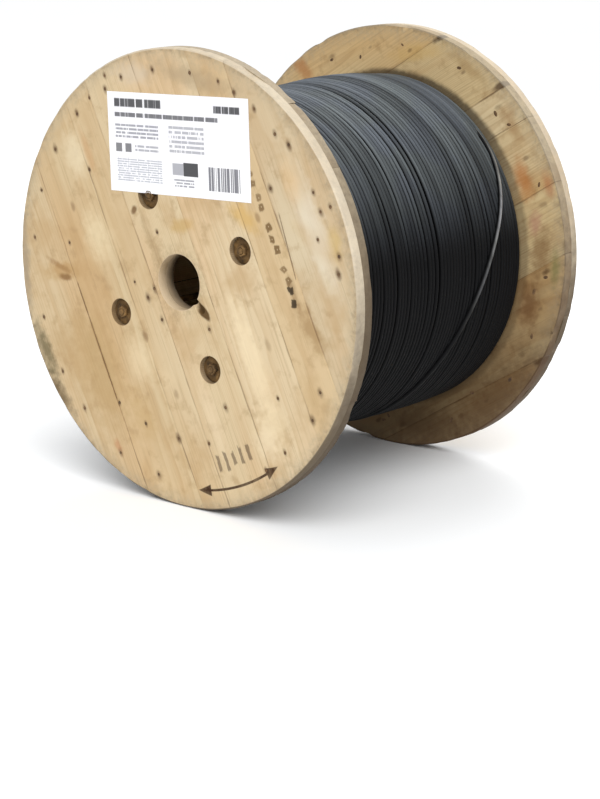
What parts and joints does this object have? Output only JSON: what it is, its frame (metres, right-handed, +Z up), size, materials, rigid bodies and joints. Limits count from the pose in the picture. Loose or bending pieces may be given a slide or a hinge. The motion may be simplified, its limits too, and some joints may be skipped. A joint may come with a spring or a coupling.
{
  "type": "wooden cable drum",
  "caption": "Wooden drum with two round flanges of crossed boards, a staved barrel, tie rods and a full winding of black round cable.",
  "frame": {"origin": "on the floor under the middle of the drum, half-way between the flanges", "axes": "the axle line runs along Y at the height of the flange's radius, the labelled front flange faces -Y, +Z is up"},
  "size_m": [0.8, 0.616, 0.8],
  "materials": {
    "front_boards": "sawn pine, weathered and stained",
    "rear_boards": "sawn pine, golden brown",
    "flange_boards": "sawn pine",
    "stave_wood": "sawn pine",
    "rusty_steel": "rusted mild steel",
    "cable_sheath": "satin black sheath"
  },
  "bodies": {
    "root": {"front_outer_board_1": "front_boards", "front_outer_board_2": "front_boards", "front_outer_board_3": "front_boards", "front_outer_board_4": "front_boards", "front_outer_board_5": "front_boards", "front_outer_board_6": "front_boards", "front_outer_board_7": "front_boards", "front_inner_board_1": "flange_boards", "front_inner_board_2": "flange_boards", "front_inner_board_3": "flange_boards", "front_inner_board_4": "flange_boards", "front_inner_board_5": "flange_boards", "front_inner_board_6": "flange_boards", "front_inner_board_7": "flange_boards", "rear_inner_board_1": "rear_boards", "rear_inner_board_2": "rear_boards", "rear_inner_board_3": "rear_boards", "rear_inner_board_4": "rear_boards", "rear_inner_board_5": "rear_boards", "rear_inner_board_6": "rear_boards", "rear_inner_board_7": "rear_boards", "rear_outer_board_1": "flange_boards", "rear_outer_board_2": "flange_boards", "rear_outer_board_3": "flange_boards", "rear_outer_board_4": "flange_boards", "rear_outer_board_5": "flange_boards", "rear_outer_board_6": "flange_boards", "rear_outer_board_7": "flange_boards", "barrel_stave_1": "stave_wood", "barrel_stave_2": "stave_wood", "barrel_stave_3": "stave_wood", "barrel_stave_4": "stave_wood", "barrel_stave_5": "stave_wood", "barrel_stave_6": "stave_wood", "barrel_stave_7": "stave_wood", "barrel_stave_8": "stave_wood", "barrel_stave_9": "stave_wood", "barrel_stave_10": "stave_wood", "barrel_stave_11": "stave_wood", "barrel_stave_12": "stave_wood", "barrel_stave_13": "stave_wood", "barrel_stave_14": "stave_wood", "barrel_stave_15": "stave_wood", "barrel_stave_16": "stave_wood", "tie_rod_1": "rusty_steel", "tie_rod_2": "rusty_steel", "tie_rod_3": "rusty_steel", "tie_rod_4": "rusty_steel", "washers": "rusty_steel", "nuts": "rusty_steel", "cable_winding": "cable_sheath"}
  },
  "joints": []
}
